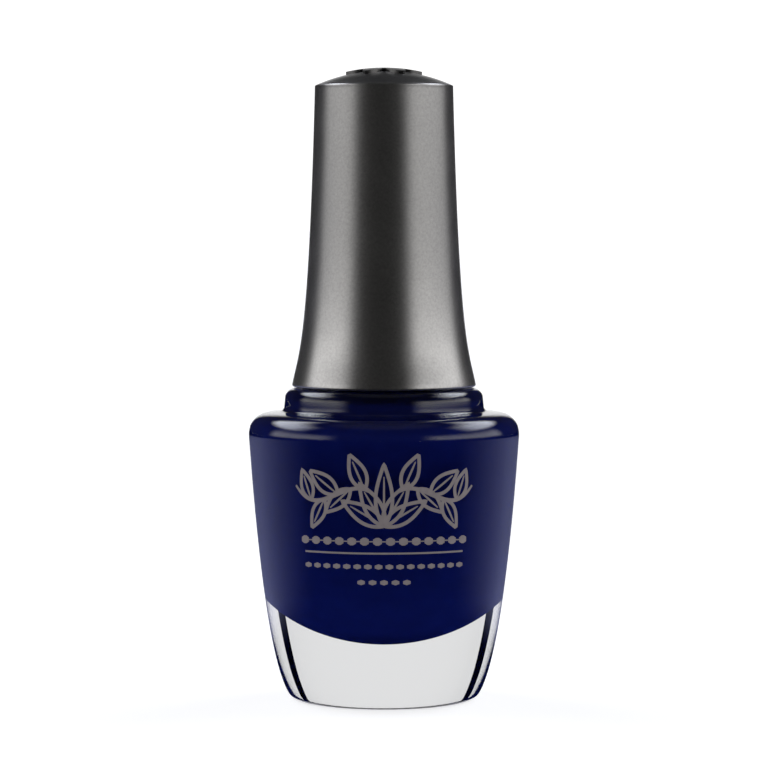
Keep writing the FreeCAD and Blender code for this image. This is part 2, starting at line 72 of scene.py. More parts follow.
def rounded(a, b, radius, steps=14):
    """Two paths that meet at a corner, as one path with the corner rounded."""
    fine_a, fine_b = resample(a, 500), resample(b, 500)
    da, db = fine_a[-1] - fine_a[-2], fine_b[1] - fine_b[0]
    side = 1.0 if da[0] * db[1] - da[1] * db[0] > 0 else -1.0
    off_a, off_b = offset(fine_a, side * radius), offset(fine_b, side * radius)
    gaps = np.linalg.norm(off_a[:, None] - off_b[None], axis=2)
    i, j = np.unravel_index(np.argmin(gaps), gaps.shape)
    centre = (off_a[i] + off_b[j]) / 2
    start = math.atan2(*(fine_a[i] - centre)[::-1])
    end = math.atan2(*(fine_b[j] - centre)[::-1])
    sweep = (end - start + math.pi) % TURN - math.pi
    k = start + np.linspace(0, 1, steps) * sweep
    bend = centre + radius * np.stack([np.cos(k), np.sin(k)], 1)
    return np.concatenate([fine_a[:i], bend, fine_b[j + 1:]])


def resample(path, count):
    length = np.concatenate([[0], np.cumsum(np.linalg.norm(np.diff(path, axis=0), axis=1))])
    k = np.linspace(0, length[-1], count)
    return np.stack([np.interp(k, length, path[:, 0]), np.interp(k, length, path[:, 1])], 1)


def thin_out(path, near=0.004, longest=1.2):
    """Drops the points of a path that a straight edge already passes near enough."""
    kept = [0]
    for i in range(2, len(path)):
        a, b = path[kept[-1]], path[i]
        chord = b - a
        size = np.linalg.norm(chord)
        if size < 1e-9:
            continue
        between = path[kept[-1] + 1:i] - a
        off = np.abs(between[:, 0] * chord[1] - between[:, 1] * chord[0]) / size
        if off.max(initial=0) > near or size > longest:
            kept.append(i - 1)
    kept.append(len(path) - 1)
    return path[kept]


def joined(*paths):
    """Paths end to end, without the doubled points."""
    points = np.concatenate(paths)
    keep = np.concatenate([[True], np.linalg.norm(np.diff(points, axis=0), axis=1) > 1e-6])
    return points[keep]


RECESS, RECESS_DEPTH = 9.4, 0.6
FOOT_INNER = (9.8, 0.0)
FOOT = (11.8, 0.0)
SIDE_LOW, SIDE_HIGH = (14.95, 2.6), (16.92, 24.0)
SHOULDER = (17.7, 36.8)
COLLAR_ROOT = (12.97, 37.35)
COLLAR_TOP = (12.77, 40.30)
NECK, LIP = 5.75, 51.6
FOOT_ROUND, SHOULDER_ROUND, ROOT_ROUND, COLLAR_ROUND, NECK_ROUND = 1.6, 2.7, 0.6, 1.5, 0.5
CAVITY_LOW, BOWL, BOWL_EDGE, BOWL_LIFT = 8.45, 13.0, 10.7, 1.0
WALL_TOP = (15.8, 35.6)
SHELF_RISE, COLLAR_LEAN = 0.55, 0.2
COLLAR_INSIDE, ROOF, ROOF_RISE = 11.47, 38.7, 0.5
THROAT, THROAT_HEIGHT, INSIDE_ROUND = 5.2, 2.0, 1.0
BORE = 3.5
LEVEL_DROP, MENISCUS = 0.6, 0.25
LACQUER_OVERLAP = 0.03
CAP_MOUTH = (11.94, 40.45)
FLARE_LOW, FLARE_HIGH = (11.06, 4.5), (9.77, 5.0)
CAP_RIM = (8.905, 79.15)
DOME_RIM = (8.705, 79.27)
DOME_TOP = 81.10
CAP_WALL, CAP_ROOF = 1.3, 1.5
MOUTH_ROUND, RIM_ROUND = 0.25, 0.08


def glass_side():
    return cubic(FOOT, SIDE_LOW, SIDE_HIGH, SHOULDER)


def glass_outside():
    """From the axis under the foot, up the outside to the lip."""
    neck_foot = (NECK, COLLAR_TOP[1])
    path = rounded(straight(FOOT_INNER, FOOT), glass_side(), FOOT_ROUND)
    path = rounded(path, straight(SHOULDER, COLLAR_ROOT), SHOULDER_ROUND)
    path = rounded(path, straight(COLLAR_ROOT, COLLAR_TOP), ROOT_ROUND)
    path = rounded(path, straight(COLLAR_TOP, neck_foot), COLLAR_ROUND)
    path = rounded(path, straight(neck_foot, (NECK, LIP)), NECK_ROUND)
    path = rounded(path, straight((NECK, LIP), (BORE, LIP)), NECK_ROUND)
    recess = straight((0, RECESS_DEPTH), (RECESS, RECESS_DEPTH), 12)
    return joined(recess, straight((RECESS, RECESS_DEPTH), FOOT_INNER), path)


def glass_inside():
    """From the lip down the bore to the bottom of the bowl, on the axis."""
    edge = BOWL + CAVITY_LOW - math.sqrt(BOWL ** 2 - BOWL_EDGE ** 2)
    slope = (BOWL + CAVITY_LOW - edge) / BOWL_EDGE
    drop = (WALL_TOP[1] - edge) / 3
    lean = (SHOULDER[0] - SIDE_HIGH[0]) / (SHOULDER[1] - SIDE_HIGH[1])
    side = cubic((BOWL_EDGE, edge), (BOWL_EDGE + slope * BOWL_LIFT, edge + BOWL_LIFT),
                 (WALL_TOP[0] - lean * drop, WALL_TOP[1] - drop), WALL_TOP)
    shelf = (COLLAR_INSIDE, WALL_TOP[1] + SHELF_RISE)
    corner = (COLLAR_INSIDE - COLLAR_LEAN, ROOF)
    throat = (THROAT, ROOF + ROOF_RISE)
    bore_low = (BORE, throat[1] + THROAT_HEIGHT)
    path = rounded(side, straight(WALL_TOP, shelf), INSIDE_ROUND)
    path = joined(path, straight(shelf, corner))
    path = rounded(path, straight(corner, throat), INSIDE_ROUND)
    path = rounded(path, straight(throat, bore_low), INSIDE_ROUND)
    path = joined(path, straight(bore_low, (BORE, LIP)))
    half = math.degrees(math.asin(BOWL_EDGE / BOWL))
    bowl = circular((0, CAVITY_LOW + BOWL), BOWL, -90, half - 90, 40)
    return joined(bowl, path)[::-1]


def cap_side(wall=0.0, top=CAP_RIM[1]):
    """The cap's flared side, or with a wall the inside of that side."""
    low = CAP_MOUTH[1]
    return cubic((CAP_MOUTH[0] - wall, low), (FLARE_LOW[0] - wall, low + FLARE_LOW[1]),
                 (FLARE_HIGH[0] - wall, low + FLARE_HIGH[1]), (CAP_RIM[0] - wall, top))


# ---------------------------------------------------------------- meshes

def mesh_object(name, points, faces, smooth=True):
    mesh = bpy.data.meshes.new(name)
    mesh.from_pydata([tuple(p) for p in points], [], faces)
    mesh.validate()
    if smooth:
        mesh.polygons.foreach_set("use_smooth", [True] * len(mesh.polygons))
    mesh.update()
    made = bpy.data.objects.new(name, mesh)
    bpy.context.scene.collection.objects.link(made)
    return made


def loop_faces(first, around, rows):
    """The side faces between rows of points, each row a closed loop of the same count."""
    faces = []
    for row in range(rows):
        low, high = first + row * around, first + (row + 1) * around
        for n in range(around):
            m = (n + 1) % around
            faces.append((low + n, low + m, high + m, high + n))
    return faces


def lathe(name, path, push=None):
    """A surface turned about Z from a path of radius and height. A path point on the axis is one vertex.
    push(angle, radius, height) returns the radius to use there."""
    points, rings = [], []
    for radius, height in path:
        if radius < 1e-6:
            rings.append([len(points)])
            points.append((0, 0, height * MM))
            continue
        first = len(points)
        for n in range(AROUND):
            angle = TURN * n / AROUND
            r = push(angle, radius, height) if push else radius
            points.append((r * math.cos(angle) * MM, r * math.sin(angle) * MM, height * MM))
        rings.append(list(range(first, first + AROUND)))
    faces = []
    for low, high in zip(rings, rings[1:]):
        for n in range(AROUND):
            m = (n + 1) % AROUND
            if len(low) == 1:
                faces.append((low[0], high[m], high[n]))
            elif len(high) == 1:
                faces.append((low[n], low[m], high[0]))
            else:
                faces.append((low[n], low[m], high[m], high[n]))
    return mesh_object(name, points, faces)


# ---------------------------------------------------------------- materials

LACQUER = (0.0042, 0.0088, 0.100)
CAP_GREY = (0.335, 0.328, 0.322)
ORNAMENT_GREY = (0.15, 0.147, 0.145)
CAP_ROUGH = 0.30
PRINT_GREY = (0.19, 0.165, 0.17)
WET_BRISTLE = (0.004, 0.008, 0.07)
STEEL = (0.62, 0.62, 0.63)
GLASS_INDEX = 1.5


def material(name):
    made = bpy.data.materials.new(name)
    made.use_nodes = True
    tree = made.node_tree
    return made, tree, tree.nodes["Principled BSDF"]


def node(tree, kind, **values):
    made = tree.nodes.new(kind)
    for key, value in values.items():
        if key in made.inputs:
            made.inputs[key].default_value = value
        else:
            setattr(made, key, value)
    return made


def noise(tree, scale, detail=4.0, roughness=0.5):
    where = node(tree, "ShaderNodeTexCoord")
    made = node(tree, "ShaderNodeTexNoise", Scale=scale, Detail=detail, Roughness=roughness)
    tree.links.new(where.outputs["Object"], made.inputs["Vector"])
    return made.outputs["Fac"]


def spread(tree, value, low, high):
    """A noise value, whose middle range is 0.3 to 0.7, stretched over low to high."""
    made = node(tree, "ShaderNodeMapRange")
    for key, number in (("From Min", 0.3), ("From Max", 0.7), ("To Min", low), ("To Max", high)):
        made.inputs[key].default_value = number
    tree.links.new(value, made.inputs["Value"])
    return made.outputs["Result"]


def bump(tree, shader, height, strength, distance):
    made = node(tree, "ShaderNodeBump", Strength=strength, Distance=distance)
    tree.links.new(height, made.inputs["Height"])
    tree.links.new(made.outputs["Normal"], shader.inputs["Normal"])


def mixed(tree, share, one, two):
    made = node(tree, "ShaderNodeMix")
    made.data_type = "RGBA"
    colours = [s for s in made.inputs if s.type == "RGBA"]
    colours[0].default_value = (*one, 1)
    colours[1].default_value = (*two, 1)
    tree.links.new(share, made.inputs["Factor"])
    return next(s for s in made.outputs if s.type == "RGBA")


def speckled(tree, shader, speck, colour, factor):
    """Colours a shader between a colour and a multiple of it, by a noise value."""
    tint = mixed(tree, spread(tree, speck, 0, 1), colour, tuple(c * factor for c in colour))
    tree.links.new(tint, shader.inputs["Base Color"])


def glass_material():
    made, tree, shader = material("glass_clear")
    shader.inputs["Base Color"].default_value = (0.91, 0.915, 0.92, 1)
    shader.inputs["Transmission Weight"].default_value = 1.0
    shader.inputs["IOR"].default_value = GLASS_INDEX
    tree.links.new(spread(tree, noise(tree, 900), 0.0, 0.012), shader.inputs["Roughness"])
    bump(tree, shader, noise(tree, 60, 1.0), 0.02, 0.0005)
    return made


def lacquer_material():
    made, tree, shader = material("lacquer_navy")
    speckled(tree, shader, noise(tree, 400), LACQUER, 1.12)
    tree.links.new(spread(tree, noise(tree, 700), 0.48, 0.54), shader.inputs["Roughness"])
    shader.inputs["IOR"].default_value = GLASS_INDEX
    shader.inputs["Specular IOR Level"].default_value = 0.0
    return made


def cap_material(name, grey):
    made, tree, shader = material(name)
    grain = noise(tree, 3200, 4.0, 0.7)
    soft = noise(tree, 260, 3.0)
    speckled(tree, shader, grain, grey, 1.34)
    tree.links.new(spread(tree, soft, CAP_ROUGH - 0.015, CAP_ROUGH + 0.015), shader.inputs["Roughness"])
    shader.inputs["Metallic"].default_value = 1.0
    bump(tree, shader, grain, 0.10, 0.00003)
    return made


def plastic(name, colour, rough, grain=1600, depth=0.05):
    made, tree, shader = material(name)
    speck = noise(tree, grain, 3.0)
    speckled(tree, shader, speck, colour, 1.15)
    tree.links.new(spread(tree, speck, rough, rough + 0.08), shader.inputs["Roughness"])
    bump(tree, shader, speck, depth, 0.00005)
    return made


def metal(name, colour, rough):
    made, tree, shader = material(name)
    shader.inputs["Metallic"].default_value = 1.0
    speck = noise(tree, 1200)
    speckled(tree, shader, speck, colour, 0.94)
    tree.links.new(spread(tree, speck, rough, rough + 0.05), shader.inputs["Roughness"])
    bump(tree, shader, speck, 0.03, 0.00002)
    return made


# ---------------------------------------------------------------- pieces

def show(piece, body, slot, look, *stands_for):
    """Puts a finished mesh on its body, with its looks, in place of the CAD nodes it stands for."""
    piece.data.materials.clear()
    piece.data.materials.append(look)
    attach(piece, body)
    if stands_for:
        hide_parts(*stands_for)
    return piece


# The neck's thread: its pitch and height, its turns, how far below the lip it ends, the half widths of a
# ridge at its foot and crest, and the share of a turn over which each end fades.
PITCH, THREAD_RISE, THREAD_TURNS, THREAD_DROP = 2.117, 0.75, 1.75, 1.6
FOOT_HALF, CREST_HALF, RUN_OUT = 0.55, 0.225, 0.25
THREAD_ZONE = (44.0, 51.5)


def thread_push(start):
    """Moves the neck's radius out along a helical ridge that fades at both ends."""
    def push(angle, radius, height):
        best = 0.0
        for lap in range(-1, 3):
            turn = angle / TURN + lap
            if not 0 <= turn <= THREAD_TURNS:
                continue
            off = abs(height - start - PITCH * turn)
            if off < FOOT_HALF:
                fade = math.sin(min(turn, THREAD_TURNS - turn, RUN_OUT) / RUN_OUT * math.pi / 2)
                flank = min(1.0, (FOOT_HALF - off) / (FOOT_HALF - CREST_HALF))
                best = max(best, fade * flank * flank * (3 - 2 * flank))
        return radius + best * THREAD_RISE
    return push


def on_neck(radius):
    return abs(radius - NECK) < 0.01


def refined_neck(path, low, high, spacing):
    """Adds points to the stretches of the neck between two heights."""
    out = [path[0]]
    for a, b in zip(path, path[1:]):
        inside = low <= min(a[1], b[1]) + 0.3 and max(a[1], b[1]) - 0.3 <= high
        inside = inside and on_neck(a[0]) and on_neck(b[0])
        count = max(1, int(np.linalg.norm(b - a) / spacing)) if inside else 1
        for k in range(1, count + 1):
            out.append(a + (b - a) * k / count)
    return np.array(out)


def build_glass(look):
    ridge = thread_push(LIP - THREAD_DROP - THREAD_TURNS * PITCH)
    outside = refined_neck(thin_out(glass_outside()), *THREAD_ZONE, 0.12)
    inside = thin_out(glass_inside())

    def push(angle, radius, height):
        return ridge(angle, radius, height) if on_neck(radius) and height > THREAD_ZONE[0] - 1 else radius

    path = joined(outside, inside)
    return show(lathe("glass_shell", path, push=push), "bottle", "glass", look, "glass_bottle")


def build_lacquer(look):
    """The lacquer, which overlaps the glass by a hair so that no air gap shows, with its curved-up edge."""
    level = COLLAR_TOP[1] - LEVEL_DROP
    wall = glass_inside()[::-1]
    wall = wall[wall[:, 1] < level - MENISCUS]
    skin = offset(wall, -LACQUER_OVERLAP)
    skin[0] = (0, wall[0, 1] - LACQUER_OVERLAP)
    top = skin[-1]
    curl = [(0, 0), (0.12, 0.12), (0.5, 0.22), (1.2, MENISCUS), (top[0], MENISCUS)]
    meniscus = np.array([(top[0] - inward, level - down) for inward, down in curl])
    path = joined(thin_out(skin), meniscus)
    return show(lathe("lacquer_fill", path), "bottle", "lacquer", look, "lacquer")


def build_cap(look):
    mouth = straight((CAP_MOUTH[0] - CAP_WALL, CAP_MOUTH[1]), CAP_MOUTH)
    side = rounded(mouth, cap_side(), MOUTH_ROUND)
    edge = rounded(side, straight(CAP_RIM, DOME_RIM), RIM_ROUND)
    rise = DOME_TOP - DOME_RIM[1]
    dome = (DOME_RIM[0] ** 2 + rise ** 2) / (2 * rise)
    half = math.degrees(math.asin(DOME_RIM[0] / dome))
    top = circular((0, DOME_TOP - dome), dome, 90 - half, 90, 60)
    top[-1, 0] = 0
    outside = thin_out(joined(edge, top), 0.002)
    ceiling = CAP_RIM[1] - CAP_ROOF
    inside = joined(np.array([(0, ceiling)]), thin_out(cap_side(CAP_WALL, ceiling))[::-1])
    return show(lathe("cap_shell", joined(inside, outside)), "cap", "cap", look, "outer_cap")


# The ribs between the inner closure and the shell: their count, ends, inner reach, thickness, chamfer at the
# ends and bite into the shell.
RIBS, RIB_LOW, RIB_HIGH, RIB_IN, RIB_THICK, RIB_EASE, RIB_BITE = 8, 41.85, 55.1, 7.7, 0.9, 0.18, 0.15


def build_ribs(look):
    """The upright ribs that hold the inner closure in the cap's shell."""
    points, faces = [], []
    wall = cap_side(CAP_WALL)
    levels = [(RIB_LOW, RIB_EASE), (RIB_LOW + RIB_EASE, 0), (RIB_HIGH - RIB_EASE, 0), (RIB_HIGH, RIB_EASE)]
    for n in range(RIBS):
        angle = TURN * n / RIBS
        along = Vector((math.cos(angle), math.sin(angle), 0))
        aside = Vector((-math.sin(angle), math.cos(angle), 0))
        first = len(points)
        for height, ease in levels:
            outer = float(np.interp(height, wall[:, 1], wall[:, 0])) + RIB_BITE
            half = RIB_THICK / 2 - ease
            for reach, side in ((RIB_IN, -half), (outer, -half), (outer, half), (RIB_IN, half)):
                points.append((along * reach + aside * side + Vector((0, 0, height))) * MM)
        last = len(levels) - 1
        faces += loop_faces(first, 4, last)
        faces.append(tuple(first + k for k in (3, 2, 1, 0)))
        faces.append(tuple(first + 4 * last + k for k in range(4)))
    return show(mesh_object("cap_ribs", points, faces, smooth=False), "cap", "cap", look)


TUFT_TIP, TUFT_ROOT = 14.2, 27.2
CORE_TIP, CORE_TOP, CORE_SHARE, CORE_ROUND = 15.6, 29.0, 0.9, 0.9
HAIR_TOP, HAIR_RADIUS, HAIR_TAPER = 29.5, 0.055, 0.85


def sections(height):
    """The tuft's half width and half thickness at a height, in millimetres, the same above its root."""
    share = (min(height, TUFT_ROOT) - TUFT_TIP) / (TUFT_ROOT - TUFT_TIP)
    marks = [0, 0.1, 0.3, 0.7, 1.0]
    wide = [1.9, 2.2, 2.5, 1.95, 1.33]
    thin = [0.6, 0.92, 1.15, 1.35, 1.28]
    return float(np.interp(share, marks, wide)), float(np.interp(share, marks, thin))


def tube_faces(first, around, rows):
    """A tube whose rows run downwards: its side faces and both ends."""
    faces = [face[::-1] for face in loop_faces(first, around, rows)]
    faces.append(tuple(first + n for n in range(around)))
    faces.append(tuple(first + rows * around + n for n in reversed(range(around))))
    return faces


def wet_core(around=40, steps=30):
    """The middle of the tuft, where lacquer holds the filaments together, with a rounded tip."""
    points = []
    for k in range(steps + 1):
        share = k / steps
        height = CORE_TOP + (CORE_TIP - CORE_TOP) * share
        wide, thin = sections(height)
        close = CORE_SHARE
        if share >= CORE_ROUND:
            into_tip = (share - CORE_ROUND) / (1 - CORE_ROUND)
            close *= math.sqrt(max(0.0, 1 - into_tip ** 2)) + 0.02
        for n in range(around):
            a = TURN * n / around
            points.append((wide * close * math.cos(a) * MM, thin * close * math.sin(a) * MM, height * MM))
    return points, tube_faces(0, around, steps)


def build_bristles(look):
    random.seed(7)
    points, faces = wet_core()
    count = 320
    sides, steps = 5, 14
    for _ in range(count):
        angle, out = random.uniform(0, TURN), math.sqrt(random.uniform(0.55, 1))
        u, v = out * math.cos(angle), out * math.sin(angle)
        tip = TUFT_TIP + u ** 2 + random.uniform(0, 0.35)
        wander = random.uniform(-0.03, 0.03), random.uniform(-0.03, 0.03)
        first = len(points)
        for k in range(steps + 1):
            share = k / steps
            height = HAIR_TOP + (tip - HAIR_TOP) * share
            wide, thin = sections(height)
            x = u * (wide - HAIR_RADIUS) + wander[0] * math.sin(share * 3.0)
            y = v * (thin - HAIR_RADIUS) + wander[1] * math.sin(share * 3.0)
            taper = HAIR_RADIUS * (1 - 0.75 * max(0.0, share - HAIR_TAPER) / (1 - HAIR_TAPER))
            for n in range(sides):
                a = TURN * n / sides
                points.append(((x + taper * math.cos(a)) * MM, (y + taper * math.sin(a)) * MM, height * MM))
        faces += tube_faces(first, sides, steps)
    return show(mesh_object("bristles", points, faces), "brush", "bristle", look, "bristle_tuft")


# ---------------------------------------------------------------- printed ornament

# Heights and widths on the glass, in millimetres. PRINT_IN and PRINT_PROUD are how far the ink's two faces
# stand off the glass.
PRINT_IN, PRINT_PROUD = 0.004, 0.02
LINE = 0.46
SPRIG_HEIGHT = 27.5
PETAL_DROP, PETAL_WIDTH = 3.6, 2.1
BEAD_ROW, BEADS, BEAD_REACH, BIG_BEAD, SMALL_BEAD = 21.9, 13, 10.6, 1.1, 0.5
RULE_HEIGHT, RULE_LINE = 20.4, 0.24
DOT_ROWS = ((18.7, 10.8, 16), (16.7, 3.6, 5))
DOT_HALF, DOT_LINE = 0.48, 0.7
# Each leaf on the stem: its share along the stem, its angle in degrees and its length.
LEAVES = ((0.15, 66, 4.8), (0.31, -42, 4.5), (0.47, 36, 4.8), (0.63, -64, 4.1), (0.80, 70, 4.0))

def glass_radius(height):
    side = glass_side()
    return float(np.interp(height, side[:, 1], side[:, 0]))


def on_glass(across, height, proud):
    """The place on the front of the glass at an arc length across and a height, in metres."""
    radius = glass_radius(height)
    angle = across / radius
    radius += proud
    return (radius * math.sin(angle) * MM, -radius * math.cos(angle) * MM, height * MM)


def ribbon(points, faces, path, width, taper=True):
    """A printed stroke along a path of (across, height), as a thin closed strip."""
    length = np.sum(np.linalg.norm(np.diff(path, axis=0), axis=1))
    path = resample(np.array(path, float), max(2, int(length / 0.25)))
    along = np.gradient(path, axis=0)
    along /= np.linalg.norm(along, axis=1)[:, None]
    across = np.stack([-along[:, 1], along[:, 0]], 1)
    first = len(points)
    total = len(path) - 1
    for k, (place, side) in enumerate(zip(path, across)):
        half = width / 2
        if taper:
            share = min(max(k / total, 0.02), 0.98)
            half *= 0.35 + 0.65 * math.sin(math.pi * share) ** 0.5
        for edge, proud in ((-1, PRINT_IN), (1, PRINT_IN), (1, PRINT_PROUD), (-1, PRINT_PROUD)):
            spot = place + side * half * edge
            points.append(on_glass(spot[0], spot[1], proud))
    faces += loop_faces(first, 4, total)
    faces.append(tuple(first + n for n in (3, 2, 1, 0)))
    faces.append(tuple(first + 4 * total + n for n in range(4)))


def leaf(centre, angle, length, width):
    """A leaf's closed outline and its vein, pointing along an angle."""
    k = np.linspace(0, 1, 30)
    edge = width / 2 * np.sin(math.pi * k ** 0.8)
    upper = np.stack([k * length, edge], 1)
    lower = np.stack([k[::-1] * length, -edge[::-1]], 1)
    outline = np.concatenate([upper, lower[1:]])
    vein = np.stack([k[2:-6] * length, np.zeros(len(k[2:-6]))], 1)
    turn = np.array([[math.cos(angle), math.sin(angle)], [-math.sin(angle), math.cos(angle)]])
    return outline @ turn + centre, vein @ turn + centre


def build_print(look):
    """A sprig over a row of beads, a rule and two rows of dots, the same on both sides of the middle."""
    points, faces = [], []

    def stroke(path, width=LINE, taper=True, both=True):
        path = np.array(path, float)
        for side in ((1, -1) if both else (1,)):
            ribbon(points, faces, path * (side, 1), width, taper)

    low = SPRIG_HEIGHT
    stem = cubic((0.9, low), (4.7, low + 3.8), (8.0, low - 3.8), (12.0, low + 1.2), 60)
    stroke(stem, LINE * 1.2)
    for share, turn, length in LEAVES:
        place = stem[int(share * 59)]
        outline, vein = leaf(place, math.radians(turn), length, length * 0.42)
        stroke(outline, taper=False)
        stroke(vein, LINE * 0.6)
    for turn, length in ((90, 7.8), (60, 6.2), (30, 6.2)):
        outline, vein = leaf(np.array((0.0, low - PETAL_DROP)), math.radians(turn), length, PETAL_WIDTH)
        stroke(outline, taper=False, both=turn != 90)
        stroke(vein, LINE * 0.6, both=turn != 90)
    stroke([(-BEAD_REACH, RULE_HEIGHT), (BEAD_REACH, RULE_HEIGHT)], RULE_LINE, taper=False, both=False)
    for n in range(-BEADS, BEADS + 1):
        across = n * BEAD_REACH / BEADS
        size, width = (BIG_BEAD, BIG_BEAD * 0.95) if n % 2 else (SMALL_BEAD, SMALL_BEAD * 0.6)
        stroke([(across - size / 2, BEAD_ROW), (across + size / 2, BEAD_ROW)], width, both=False)
    for row, reach, count in DOT_ROWS:
        for n in range(count):
            across = -reach + (2 * reach) * (n + 0.5) / count
            stroke([(across - DOT_HALF, row), (across + DOT_HALF, row)], DOT_LINE, both=False)
    return show(mesh_object("front_print", points, faces, smooth=False), "bottle", "label", look)


# ---------------------------------------------------------------- studio

# In the world, in degrees: azimuth 0 is the camera's side and positive is to +X, and elevation 0 is level.
# Four numbers: where a panel begins, is full, is still full and ends. Two: where a step begins and ends.
RIGHT_PANEL = (30, 50, 110, 124)
LEFT_PANEL = (-118, -104, -60, -38)
PANEL_HEIGHT = (0, 9, 12, 32)
PANEL_LIGHT = 1.85
UPPER_PANEL = (75, 112, 142, 158)
UPPER_HEIGHT = (28, 37, 45, 60)
UPPER_LIGHT = 5.2
UPPER_COLOUR = (0.86, 0.90, 1.0)
TOP_HEIGHT = (60, 74)
TOP_LIGHT = 0.10
BACKDROP_EDGE = (166, 173)
BACKDROP_TOP = (8, 22)
BACKDROP_LIGHT = 1.15
FILL_LIGHT = 0.02
FLOOR_GREY, FLOOR_GLOW = 0.6, 0.75
FLOOR_HALF, FLOOR_DROP = 6.0, 0.00002

# The sheen that the glass mirrors low down: its light, colour, reach from the axis in metres, and azimuths.
SIDE_SHEEN = 0.62
SHEEN_COLOUR = (0.56, 0.60, 1.0)
SHEEN_REACH = (0.030, 0.062, 0.32, 0.55)
SHEEN_GROWS, SHEEN_FALLS = (58, 118), (124, 158)
SHADE_RING, SHADE_HALF, SHADE_HEIGHT = (0.0121, 5.9), 165, 0.0002

# The cards close behind the bottle, in metres and degrees.
BASE_LIGHT, BASE_END_LIGHT, BASE_ENDS = 0.88, 0.25, (0.022, 0.040)
WALL_RADIUS, WALL_AZIMUTH = 0.050, (116, 244)
WHITE_HEIGHT, BLACK_HEIGHT = (0.0, 0.032), (0.0322, 0.10)
FLAG_RADIUS, FLAG_HEIGHT = 0.048, (0.0, 0.034)
FLAGS = {"flag_left": (143.4, 150.4), "flag_right": (-147.5, -138.5)}

CAMERA_PLACE, CAMERA_TILT, CAMERA_LENS = (0, -0.44542, 0.0650), 3.119, 161.72


def maths(tree, operation, *values):
    made = node(tree, "ShaderNodeMath", operation=operation)
    for socket, value in zip(made.inputs, values):
        if isinstance(value, (int, float)):
            socket.default_value = value
        else:
            tree.links.new(value, socket)
    return made.outputs[0]


def step(tree, value, low, high):
    """0 below low, 1 above high, smooth between them."""
    made = node(tree, "ShaderNodeMapRange", interpolation_type="SMOOTHSTEP")
    made.inputs["From Min"].default_value = low
    made.inputs["From Max"].default_value = high
    tree.links.new(value, made.inputs["Value"])
    return made.outputs["Result"]


def between(tree, value, low, low_full, high_full, high):
    falling = maths(tree, "SUBTRACT", 1.0, step(tree, value, high_full, high))
    return maths(tree, "MULTIPLY", step(tree, value, low, low_full), falling)


def azimuth_of(tree, x, y):
    """The angle around the axis in degrees, 0 on the camera's side."""
    return maths(tree, "DEGREES", maths(tree, "ARCTAN2", x, maths(tree, "MULTIPLY", y, -1.0)))


def parts_of(tree, coordinates):
    axes = node(tree, "ShaderNodeSeparateXYZ")
    tree.links.new(coordinates, axes.inputs[0])
    return axes.outputs


def glow_material(name):
    """A material with an output and a light that isn't linked to it yet."""
    made = bpy.data.materials.new(name)
    made.use_nodes = True
    tree = made.node_tree
    tree.nodes.clear()
    place = node(tree, "ShaderNodeTexCoord").outputs["Object"]
    return made, tree, node(tree, "ShaderNodeOutputMaterial"), node(tree, "ShaderNodeEmission"), place


def base_glow():
    """The white wall behind the clear base: even in the middle and a little brighter towards its ends."""
    made, tree, out, light, place = glow_material("base_glow")
    x = parts_of(tree, place)[0]
    ends = step(tree, maths(tree, "ABSOLUTE", x), *BASE_ENDS)
    strength = maths(tree, "ADD", BASE_LIGHT, maths(tree, "MULTIPLY", ends, BASE_END_LIGHT))
    tree.links.new(strength, light.inputs["Strength"])
    tree.links.new(light.outputs["Emission"], out.inputs["Surface"])
    return made


def shade_glow():
    """What the sides of the glass mirror below the level: dark in front and paler towards the back.
    Rays that come through the glass see the floor instead."""
    made, tree, out, light, place = glow_material("shade_glow")
    x, y, _ = parts_of(tree, place)
    azimuth = azimuth_of(tree, maths(tree, "ABSOLUTE", x), y)
    falling = maths(tree, "MULTIPLY", step(tree, azimuth, *SHEEN_FALLS), -0.5)
    share = maths(tree, "ADD", step(tree, azimuth, *SHEEN_GROWS), falling)
    radius = node(tree, "ShaderNodeVectorMath", operation="LENGTH")
    tree.links.new(place, radius.inputs[0])
    share = maths(tree, "MULTIPLY", share, between(tree, radius.outputs["Value"], *SHEEN_REACH))
    tree.links.new(maths(tree, "MULTIPLY", share, SIDE_SHEEN), light.inputs["Strength"])
    light.inputs["Color"].default_value = (*SHEEN_COLOUR, 1)
    through = node(tree, "ShaderNodeLightPath").outputs["Is Transmission Ray"]
    either = node(tree, "ShaderNodeMixShader")
    tree.links.new(through, either.inputs[0])
    tree.links.new(light.outputs["Emission"], either.inputs[1])
    tree.links.new(node(tree, "ShaderNodeBsdfTransparent").outputs[0], either.inputs[2])
    tree.links.new(either.outputs[0], out.inputs["Surface"])
    return made


def black_material():
    made, _, shader = material("flag_black")
    shader.inputs["Base Color"].default_value = (0, 0, 0, 1)
    shader.inputs["Roughness"].default_value = 1.0
    shader.inputs["Specular IOR Level"].default_value = 0.0
    return made


def floor_material():
    made, _, shader = material("floor_white")
    shader.inputs["Base Color"].default_value = (FLOOR_GREY, FLOOR_GREY, FLOOR_GREY, 1)
    shader.inputs["Roughness"].default_value = 0.9
    shader.inputs["Specular IOR Level"].default_value = 0.1
    shader.inputs["Emission Color"].default_value = (1, 1, 1, 1)
    shader.inputs["Emission Strength"].default_value = FLOOR_GLOW
    return made


